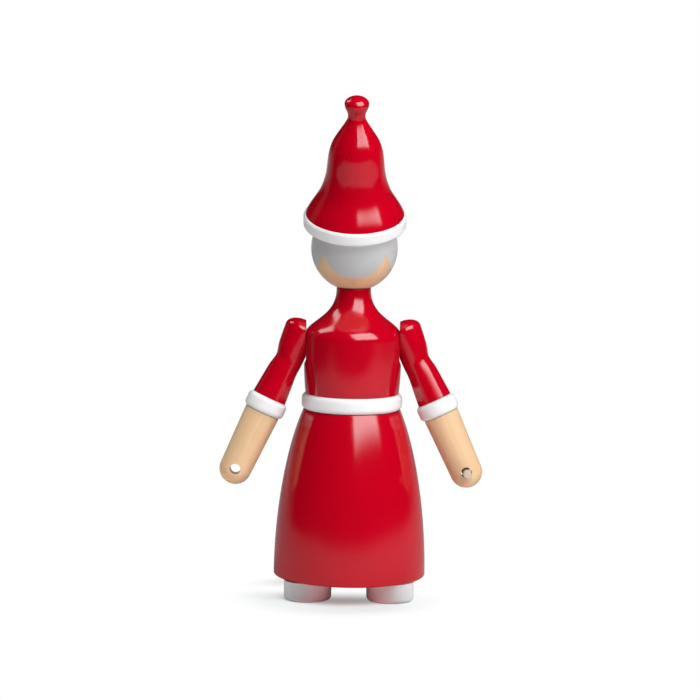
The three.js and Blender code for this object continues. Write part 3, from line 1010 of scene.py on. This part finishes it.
@dataclass
class Head:
    """The ball of the head with its painted hair and face, and the hat with its brim.

    Sizes are in metres and angles in degrees. The hat's levels are counted from its foot. A patch of paint
    has an azimuth from the back of the head, a latitude and a radius; the mouth is part of a thin ring.
    """

    finishes: Finishes
    radius: float = 17.2 * MM
    flat_radius: float = 7.3 * MM
    neck_dowel: Dowel = Body.neck_dowel
    hat_dowel: Dowel = Dowel(3.5 * MM, 8 * MM)
    hat_tilt: float = 20.0
    brim_drop: float = 7.55 * MM
    brim_radius: float = 20.4 * MM
    brim_height: float = 5.3 * MM
    brim_edge: float = 1.3 * MM
    socket_gap: float = 0.3 * MM
    hat_inset: float = 0.9 * MM
    foot_lean: float = 0.39
    flare: Level = Level(13.7 * MM, 10.2 * MM, 0.4)
    crown: Level = Level(11.5 * MM, 18.5 * MM, 0.12)
    slope: Level = Level(8.2 * MM, 32.4 * MM, 0.63)
    slope_run: float = 7.85 * MM
    tip: Level = Level(3.45 * MM, 41.85 * MM)
    tip_turn: float = 1.9 * MM
    knob: Level = Level(4.85 * MM, 46.4 * MM)
    hat_height: float = 49.5 * MM
    paint_turn: float = -0.7
    back_lock: Triple = (0.0, 5.9, 45.6)
    side_lock: Triple = (91.4, 21.2, 51.6)
    fringe_lock: Triple = (142.0, 60.0, 42.0)
    crown_lock: Triple = (0.0, 90.0, 60.0)
    eye: Triple = (164.5, -1.5, 3.3)
    mouth_centre: Pair = (180.0, -7.5)
    mouth_size: Pair = (11.0, 0.75)
    mouth_width: float = 9.0
    cheek: Triple = (153.0, -13.0, 5.0)

    def __post_init__(self) -> None:
        """Takes the head's centre and the hat's frame from the solids."""
        self.flat = -math.sqrt(self.radius**2 - self.flat_radius**2)
        head_low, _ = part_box("head")
        self.centre = Matrix.Translation((0.0, 0.0, head_low.z - self.flat))
        self.hat_frame = self.centre @ Matrix.Rotation(-math.radians(self.hat_tilt), 4, "X")
        self.socket = self.radius + self.socket_gap
        self.brim_low = self.radius - self.brim_drop
        self.brim_high = self.brim_low + self.brim_height

    def build(self) -> None:
        """Builds head, brim and hat."""
        ball = self.ball()
        low = self.radius - self.hat_dowel.hole
        drills = [drill(self.hat_dowel.bore, low, 2 * self.radius, self.hat_frame)]
        finish = self.finishes.head(self.centre)
        surface = ball.placed(self.centre)
        Piece("head", "head", Slot.HEAD, surface, finish, drills, self.paint(ball.points)).build()
        for name, slot, shape, lacquer in (
            ("hat_brim", Slot.WHITE, self.brim(), self.finishes.white),
            ("hat", Slot.RED, self.hat(), self.finishes.red),
        ):
            Piece(name, "head", slot, shape.placed(self.hat_frame), lacquer).build()

    def ball(self) -> Surface:
        """The ball about its own centre, with a flat and a bore over the neck."""
        bore, end = self.neck_dowel.bore, self.flat + self.neck_dowel.hole
        outline = Outline(0.0, end).line(bore, end).line(bore, self.flat)
        return Surface.turned(outline.along_ball(self.radius, self.flat, self.radius), columns=360)

    def paint(self, points: Array) -> dict[str, Array]:
        """Where the paint lies, as degrees inside each painted patch.

        Hair is the union of round locks that meet in points; the face is two dots, a short arc and a blush.

        Args:
            points: The ball's points about its centre.

        Returns:
            Fields for hair, eyes, mouth and blush.
        """
        length = np.linalg.norm(points, axis=-1, keepdims=True)
        turned = points @ np.array(Matrix.Rotation(math.radians(self.paint_turn), 3, "Z")).T
        way = turned / np.maximum(length, SAME)

        def both(azimuth: float, latitude: float, size: float) -> Array:
            """The same patch on the left and on the right."""
            left = round_patch(way, azimuth, latitude, size)
            return np.maximum(left, round_patch(way, -azimuth, latitude, size))

        locks = (self.back_lock, self.side_lock, self.fringe_lock, self.crown_lock)
        ring, thick = self.mouth_size
        azimuth, latitude = self.mouth_centre
        smile = thick - np.abs(round_patch(way, azimuth, latitude, ring))
        low_half = round_patch(way, azimuth, latitude - ring, self.mouth_width)
        return {
            "hair": np.maximum.reduce([both(*lock) for lock in locks]),
            "eyes": both(*self.eye),
            "mouth": np.minimum(smile, low_half),
            "blush": both(*self.cheek),
        }

    def brim(self) -> Surface:
        """The brim about the head's centre: a round-edged hoop, hollowed by the ball."""
        outline = Outline(math.sqrt(self.socket**2 - self.brim_low**2), self.brim_low)
        outline.edge(Edge.LOWER, self.brim_radius, self.brim_low, self.brim_edge)
        outline.edge(Edge.UPPER, self.brim_radius, self.brim_high, self.brim_edge)
        outline.along_ball(self.socket, self.brim_high, self.brim_low)
        return Surface.turned(outline, columns=240, ring=True)

    def hat(self) -> Surface:
        """The hat about the head's centre: dished foot, flare, crown, slope, thin neck and knob in turn."""
        base = self.brim_high + self.socket_gap
        bore, end = self.hat_dowel.bore, self.radius + self.hat_dowel.hole
        rim = math.sqrt(self.socket**2 - bore**2)
        foot = Level(self.brim_radius - self.hat_inset, self.brim_high + SNUG, self.foot_lean)
        levels = (self.flare, self.crown, self.slope, self.tip, self.knob)
        flare, crown, slope, tip, knob = (level.raised(base) for level in levels)
        outline = Outline(0.0, end).line(bore, end)
        outline.along_ball(self.socket, rim, foot.height).line(*foot.ahead())
        for low, high in pairwise((foot, flare, crown, slope)):
            outline.sweep(low, high)
        outline.sweep(slope, tip, self.slope_run, self.tip_turn).sweep(tip, knob)
        outline.arc((0.0, knob.height), (knob.radius, self.hat_height - self.knob.height), 0, 90)
        return Surface.turned(outline, columns=240)


@dataclass
class Arm:
    """A sleeve, cuff and forearm on one slanted axis; the right arm also holds the peg.

    Lengths run down the arm from the sleeve's tip. Sizes are in metres and angles in degrees.
    """

    finishes: Finishes
    side: Side
    tilt: float = 24.7
    swing: float = 4.5
    rise: float = 6.7 * MM
    sleeve_length: float = 33.8 * MM
    sleeve_radius: float = 6.95 * MM
    sleeve_dome: float = 4.5 * MM
    sleeve_taper: float = 0.09
    taper_run: float = 9 * MM
    elbow_level: float = 17.3 * MM
    elbow_radius: float = 5.53 * MM
    elbow_set_in: float = 0.55 * MM
    elbow_reach: float = 3.2 * MM
    elbow_turn: float = 1.2 * MM
    sleeve_end_radius: float = 6.93 * MM
    sleeve_flare: float = 0.085
    flare_run: float = 11.5 * MM
    flat_edge: float = 0.16 * MM
    pivot: Dowel = Dowel(3 * MM, 5 * MM)
    seat_gap: float = 0.3 * MM
    cuff_radius: float = 8.2 * MM
    cuff_height: float = 6.3 * MM
    cuff_edge: float = 2 * MM
    forearm_radius: float = 7.1 * MM
    forearm_length: float = 24.8 * MM
    hand_radius: float = 6.4 * MM
    hand_hole: float = 2.15 * MM
    tenon: Dowel = Dowel(3.5 * MM, 9 * MM)
    peg_clearance: float = 0.43 * MM
    peg_sag: float = 0.32 * MM
    peg_length: float = 21 * MM
    peg_back: float = 6 * MM
    peg_edge: float = 0.5 * MM

    def __post_init__(self) -> None:
        """Works out the arm's frames and the levels of its pieces."""
        sign = self.side.value
        pivot = Matrix.Translation(joint_place(f"{self.side.word}_shoulder"))
        self.shoulder = pivot @ Matrix.Rotation(math.radians(self.swing), 4, "X")
        lean = Matrix.Rotation(-sign * math.radians(self.tilt), 4, "Y")
        self.slant = Matrix.Translation((0.0, 0.0, self.rise)) @ lean
        self.axis = self.shoulder @ self.slant
        self.body = f"{self.side.word}_arm"
        self.cuff_top = self.sleeve_length + self.seat_gap
        self.cuff_end = self.cuff_top + self.cuff_height
        self.hand = self.cuff_end + self.seat_gap + self.forearm_length
        self.hand_frame = self.axis @ Matrix.Translation((0.0, 0.0, -self.hand))

    def build(self) -> None:
        """Builds the arm's pieces."""
        word = self.side.word
        across = self.shoulder @ Matrix.Rotation(self.side.value * math.pi / 2, 4, "Y")
        pivot = drill(self.pivot.bore, -self.sleeve_radius, self.pivot.hole, across)
        red, white = self.finishes.red, self.finishes.white
        wood = self.finishes.wood(NATURAL, self.axis, f"{word}_forearm")
        through = self.hand_frame @ Matrix.Rotation(-math.pi / 2, 4, "X")
        hole = drill(self.hand_hole, -2 * self.hand_radius, 2 * self.hand_radius, through)
        Piece(f"{word}_sleeve", self.body, Slot.RED, self.sleeve(), red, [pivot]).build()
        Piece(f"{word}_cuff", self.body, Slot.WHITE, self.cuff(), white).build()
        Piece(f"{word}_forearm", self.body, Slot.NATURAL, self.forearm(), wood, [hole]).build()
        if self.side is Side.RIGHT:
            raw = self.finishes.wood(RAW, through, "hand_peg")
            Piece("hand_peg", "peg", Slot.RAW, self.peg().placed(through), raw).build()

    def sleeve(self) -> Surface:
        """The sleeve: a flare, an elbow that leans to the body, a taper and a dome, cut flat at x = 0."""
        bore, floor = self.tenon.bore, self.tenon.hole - self.sleeve_length
        end = Level(self.sleeve_end_radius, -self.sleeve_length - self.seat_gap + SNUG, self.sleeve_flare)
        elbow = Level(self.elbow_radius, -self.elbow_level)
        top = Level(self.sleeve_radius, -self.sleeve_dome, -self.sleeve_taper)
        dome_turn = QUARTER_TURN * self.sleeve_dome
        outline = Outline(0.0, floor).line(bore, floor).line(bore, end.height).line(*end.ahead())
        outline.sweep(end, elbow, self.flare_run, self.elbow_turn)
        outline.sweep(elbow, top, self.elbow_turn, self.taper_run)
        outline.curve(top.ahead(dome_turn), (QUARTER_TURN * self.sleeve_radius, 0.0), (0.0, 0.0))
        surface = Surface.turned(outline, columns=240)
        sign = self.side.value
        away = (surface.points[..., 2] + self.elbow_level) / self.elbow_reach
        surface.points[..., 0] -= sign * self.elbow_set_in * np.exp(-(away**2))
        surface = surface.placed(self.slant)
        surface.points[..., 0] = sign * soft_positive(sign * surface.points[..., 0], self.flat_edge)
        return surface.placed(self.shoulder)

    def cuff(self) -> Surface:
        """The cuff: a hoop with round edges."""
        levels = (-self.cuff_end - self.seat_gap + SNUG, -self.cuff_top)
        ring = hoop(self.tenon.bore, self.cuff_radius, *levels, self.cuff_edge, columns=192)
        return ring.placed(self.axis)

    def forearm(self) -> Surface:
        """The forearm: a round hand, a slight taper up to the cuff, and a tenon above."""
        top = -self.cuff_end - self.seat_gap
        outline = Outline(0.0, -self.hand - self.hand_radius)
        outline.arc((0.0, -self.hand), (self.hand_radius, self.hand_radius), -90, 0)
        outline.line(self.forearm_radius, top)
        outline.step(self.tenon.radius, self.tenon.depth - self.sleeve_length)
        return Surface.turned(outline, columns=192).placed(self.axis)

    def peg(self) -> Surface:
        """The peg along Z by the hand's centre, with softened ends, lying on the lower side of its hole."""
        radius = self.hand_hole - self.peg_clearance
        back = self.hand_radius + self.peg_back
        front = back - self.peg_length
        outline = Outline(0.0, front).edge(Edge.LOWER, radius, front, self.peg_edge)
        outline.edge(Edge.UPPER, radius, back, self.peg_edge).line(0.0, back)
        return Surface.turned(outline, columns=96).placed(Matrix.Translation((0.0, self.peg_sag, 0.0)))


@dataclass
class HiddenDowels:
    """The dowels inside the figure, which stay as solids and get bare wood."""

    finishes: Finishes

    def dress(self) -> None:
        """Gives each dowel the raw wood with its fibres along its length."""
        for name, node in frame["nodes"].items():
            if not name.endswith("_dowel"):
                continue
            low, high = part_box(name)
            span = high - low
            turn = Matrix.Rotation(math.pi / 2, 4, "Y") if span.x > span.z else IDENTITY
            node.data.materials.clear()
            node.data.materials.append(self.finishes.wood(RAW, Matrix.Translation(low) @ turn, name))
            log.info("%s dressed", name)


class Lights(Enum):
    """Which pieces a lamp lights; the values are those of its links to the named ones."""

    ONLY = "INCLUDE"
    ALL_BUT = "EXCLUDE"


SHOES = ("left_shoe", "right_shoe")
HAT = ("hat_brim", "hat")
PALE = ("hat_brim", "belt", "left_cuff", "left_forearm", "right_forearm")


@dataclass
class SoftBox:
    """A rectangular studio lamp that faces the figure.

    Attributes:
        name: The lamp's name.
        azimuth: Degrees from the photograph's viewing side, growing towards the image's right.
        elevation: Degrees above the horizon.
        distance: From the aim, in metres, square to its face.
        size: Width and height in metres.
        radiance: Brightness of its face, where 1 is white.
        rise: How far its centre is slid up its own face, in metres.
        fade: Share of its height over which it dims towards its lower edge.
        lights: Whether it lights only the named pieces or all but the named ones.
        named: Those pieces, by their nodes.
        past: Pieces that cast no shadow in its light, by their nodes.
    """

    name: str
    azimuth: float
    elevation: float
    distance: float
    size: Pair
    radiance: float
    rise: float = 0.0
    fade: float = 0.0
    lights: Lights = Lights.ALL_BUT
    named: tuple[str, ...] = ()
    past: tuple[str, ...] = ()

    def build(self, aim: Vector) -> None:
        """Hangs the lamp.

        Args:
            aim: Point that it faces.
        """
        a, e = math.radians(self.azimuth), math.radians(self.elevation)
        way = Vector((-math.sin(a) * math.cos(e), math.cos(a) * math.cos(e), math.sin(e)))
        turn = (-way).to_track_quat("-Z", "Y")
        lamp = bpy.data.lights.new(self.name, "AREA")
        lamp.shape = "RECTANGLE"
        lamp.size, lamp.size_y = self.size
        lamp.energy = self.radiance * math.pi * self.size[0] * self.size[1]
        if self.fade:
            self._dim(lamp)
        obj = new_object(self.name, lamp)
        obj.location = aim + way * self.distance + turn @ Vector((0.0, self.rise, 0.0))
        obj.rotation_euler = turn.to_euler()
        if self.named:
            obj.light_linking.receiver_collection = self._linked(self.named, self.lights)
        if self.past:
            obj.light_linking.blocker_collection = self._linked(self.past, Lights.ALL_BUT)

    def _linked(self, names: tuple[str, ...], lights: Lights) -> bpy.types.Collection:
        """A collection of pieces for the lamp's links.

        Args:
            names: The nodes that the pieces stand for.
            lights: Whether the link takes only these pieces or all but these.

        Returns:
            The collection.
        """
        linked = bpy.data.collections.new(f"{self.name}_links")
        for name in names:
            linked.objects.link(bpy.data.objects[name + FINISHED])
        for entry in linked.collection_objects:
            entry.light_linking.link_state = lights.value
        return linked

    def _dim(self, lamp: bpy.types.Light) -> None:
        """Dims the lamp's face smoothly towards its lower edge.

        Args:
            lamp: The lamp to dim.
        """
        lamp.use_nodes = True
        nodes = Nodes(lamp.node_tree)
        face = nodes.add("SeparateXYZ", {0: nodes.add("NewGeometry").outputs["Parametric"]})
        share = nodes.span(face.outputs["Y"], (0.0, self.fade), ramp=Ramp.SMOOTH)
        glow = nodes.add("Emission", {"Strength": share})
        nodes.add("OutputLight", {"Surface": glow.outputs[0]})


KEY = SoftBox(
    "key_soft_box", 34.5, 25.0, 0.9, (0.88, 1.03), 3.85,
    rise=0.385, fade=0.2, lights=Lights.ALL_BUT, named=SHOES,
)


@dataclass
class Studio:
    """The table, the surround and the lamps.

    Attributes:
        table_low: The table's corner in front of the figure, in metres.
        table_high: Its corner on the viewing side.
        table_colour: Its diffuse colour away from the figure.
        patches: Half sizes and colours of its painted shade by the shoes and of the painted red bounce light
            between them.
        patch_edge: Where a patch begins and where it is full, as shares of its half sizes.
        table_mirrored: Its diffuse colour as glossy surfaces mirror it.
        paper_colour: Its diffuse colour as the camera sees it in the figure's shadow.
        shadow_centre: Middle of the shadow that the camera sees; beyond its ends the paper is plain white.
        shadow_ends: Distances from there between which the shadow ends.
        shadow_gap: Distances from the line under the figure between which the shadow begins.
        shadow_line: Y of that line.
        shadow_depth: How much of the paper's shade shows at most.
        surround: Soft light of the surround in front of the figure and on the viewing side; 1 is white.
        surround_reach: Where that changes, as a direction's Y.
        mirrored: The same for what glossy surfaces mirror.
        mirrored_way: Direction across the mirrored wall.
        mirrored_reach: Where that changes, along mirrored_way.
        mirrored_top: Where the mirrored surround ends, as a direction's Z.
        aim: Point that the lamps face.
        lamps: The soft boxes.
    """

    table_low: Pair = (-0.75, -1.2)
    table_high: Pair = (0.52, 0.43)
    table_colour: float = 0.9
    # painted shade by the shoes and painted red bounce light between them, in the light that the table
    # bounces
    patches: tuple[tuple[Pair, Colour], ...] = (
        ((0.03, 0.05), (0.45, 0.45, 0.45)),
        ((0.019, 0.05), (0.95, 0.42, 0.42)),
    )
    patch_edge: Pair = (1.25, 0.75)
    table_mirrored: float = 0.38
    paper_colour: Colour = (0.8, 0.86, 0.86)
    shadow_centre: Triple = (5 * MM, 7 * MM, 0.0)
    shadow_ends: Pair = (28 * MM, 47 * MM)
    shadow_gap: Pair = (0.0, 24 * MM)
    shadow_line: float = -6 * MM
    shadow_depth: float = 0.72
    surround: Pair = (0.95, 0.05)
    surround_reach: Pair = (-0.72, -0.38)
    mirrored: Pair = (0.5, 0.0)
    mirrored_way: Triple = (-0.1, 0.995, 0.0)
    mirrored_reach: Pair = (-0.95, -0.27)
    mirrored_top: Pair = (-0.05, 0.12)
    aim: Triple = (0.0, 0.0, 0.1)
    lamps: tuple[SoftBox, ...] = (
        KEY,
        replace(KEY, name="key_past_hat", radiance=2.0, past=HAT),
        SoftBox(
            "shoe_soft_box", 72.0, 25.0, 0.9, (0.6, 0.98), 5.2,
            rise=0.41, lights=Lights.ONLY, named=SHOES[1:],
        ),
        SoftBox("pale_fill", -75.0, 2.0, 1.0, (0.9, 0.5), 0.5, lights=Lights.ONLY, named=PALE),
        SoftBox("rim_soft_box", -115.0, 50.0, 1.0, (0.3, 0.42), 3.7),
        SoftBox("edge_strip", -110.0, 17.0, 1.0, (0.35, 0.45), 0.09),
    )

    def build(self) -> None:
        """Builds table, surround and lamps, and sets the plain view transform."""
        self.table()
        self.world()
        for lamp in self.lamps:
            lamp.build(Vector(self.aim))
        bpy.context.scene.view_settings.view_transform = "Standard"

    def table(self) -> None:
        """A table top; for the camera it is plain white away from the figure's shadow."""
        (left, front), (right, back) = self.table_low, self.table_high
        rim = [(left, front), (right, front), (right, back), (left, back)]
        mesh = bpy.data.meshes.new("table")
        mesh.from_pydata([(x, y, -SNUG) for x, y in rim], [], [(0, 1, 2, 3)])
        material, nodes = new_material("white_paper")
        path = nodes.add("LightPath").outputs
        place = nodes.add("TexCoord").outputs["Object"]
        colour = (self.table_colour,) * 3
        # paints shade by the shoes and red bounce light between them into the colour that bounced light sees
        for sizes, tone in self.patches:
            off = nodes.add("VectorMath", {0: place, 1: (*sizes, 1.0)}, operation="DIVIDE").outputs[0]
            away = nodes.add("VectorMath", {0: off}, operation="LENGTH").outputs["Value"]
            colour = nodes.mix(nodes.span(away, self.patch_edge), colour, tone)
        colour = nodes.mix(path["Is Glossy Ray"], colour, (self.table_mirrored,) * 3)
        top = nodes.add("BsdfDiffuse", {"Color": colour}).outputs[0]
        paper = nodes.add("BsdfDiffuse", {"Color": self.paper_colour}).outputs[0]
        white = nodes.add("Emission", {"Strength": 1.0}).outputs[0]
        shadow = self.shadow_share(nodes, place)
        shown = nodes.add("MixShader", {0: shadow, 1: white, 2: paper}).outputs[0]
        mixed = nodes.add("MixShader", {0: path["Is Camera Ray"], 1: top, 2: shown}).outputs[0]
        nodes.add("OutputMaterial", {"Surface": mixed})
        mesh.materials.append(material)
        new_object("table", mesh)

    def shadow_share(self, nodes: Nodes, place: Socket) -> Socket:
        """How much of the paper's shade the camera sees: a soft pool round the shoes, open between them.

        Args:
            nodes: The material's node builder.
            place: Socket of the place on the table.

        Returns:
            Socket of the share, from 0 to 1.
        """
        away = nodes.add("VectorMath", {0: place, 1: self.shadow_centre}, operation="DISTANCE")
        across = nodes.add("SeparateXYZ", {0: place}).outputs["Y"]
        beside = nodes.number("ABSOLUTE", nodes.number("SUBTRACT", across, self.shadow_line))
        pool = nodes.span(away.outputs["Value"], self.shadow_ends, DOWN, Ramp.SMOOTH)
        rise = nodes.span(beside, self.shadow_gap, (0.0, self.shadow_depth), Ramp.SMOOTH)
        return nodes.number("MULTIPLY", pool, rise)

    def world(self) -> None:
        """White to the camera; to the figure a pale wall in front of it and a dim viewing side."""
        world = bpy.data.worlds.new("white_surround")
        bpy.context.scene.world = world
        world.use_nodes = True
        nodes = Nodes(world.node_tree)
        sky = nodes.add("TexCoord").outputs["Generated"]
        way = nodes.add("SeparateXYZ", {0: sky}).outputs
        across = nodes.add("VectorMath", {0: sky, 1: self.mirrored_way}, operation="DOT_PRODUCT")
        path = nodes.add("LightPath").outputs
        low = nodes.span(way["Z"], self.mirrored_top, DOWN)
        wall = nodes.span(across.outputs["Value"], self.mirrored_reach, self.mirrored)
        mirrors = nodes.number("MAXIMUM", path["Is Glossy Ray"], path["Is Transmission Ray"])
        soft = nodes.span(way["Y"], self.surround_reach, self.surround)
        strength = nodes.between(mirrors, soft, nodes.number("MULTIPLY", wall, low))
        strength = nodes.between(path["Is Camera Ray"], strength, 1.0)
        white = nodes.add("Background", {"Color": (1.0, 1.0, 1.0), "Strength": strength})
        nodes.add("OutputWorld", {"Surface": white.outputs[0]})


@dataclass
class PhotoCamera:
    """The camera at the photograph's viewing angle, behind the figure.

    Attributes:
        place: Where it stands, in metres.
        target: What it points at.
        roll: Degrees that the figure leans to the right in the image.
        lens: Focal length in millimetres.
        sensor: Width of the sensor in millimetres.
        clip: Nearest and farthest distance that it sees, in metres.
    """

    place: Triple = (1.1 * MM, 1.3, 0.258)
    target: Triple = (1.1 * MM, 0.0, 0.0983)
    roll: float = 0.95
    lens: float = 169.0
    sensor: float = 36.0
    clip: Pair = (0.01, 50.0)

    def build(self) -> None:
        """Places the camera and makes it the scene's."""
        data = bpy.data.cameras.new("photo_camera")
        data.lens = self.lens
        data.sensor_width = self.sensor
        data.clip_start, data.clip_end = self.clip
        camera = new_object("photo_camera", data)
        look = (Vector(self.target) - Vector(self.place)).to_track_quat("-Z", "Y")
        roll = Matrix.Rotation(math.radians(self.roll), 4, "Z")
        camera.matrix_world = Matrix.Translation(self.place) @ look.to_matrix().to_4x4() @ roll
        bpy.context.scene.camera = camera


def main() -> None:
    """Builds camera, figurine and studio in turn."""
    logging.basicConfig(level=logging.INFO, format="%(name)s: %(message)s")
    PhotoCamera().build()
    finishes = Finishes()
    Body(finishes).build()
    Head(finishes).build()
    for side in Side:
        Arm(finishes, side).build()
    HiddenDowels(finishes).dress()
    Studio().build()


if __name__ == "__main__":
    main()
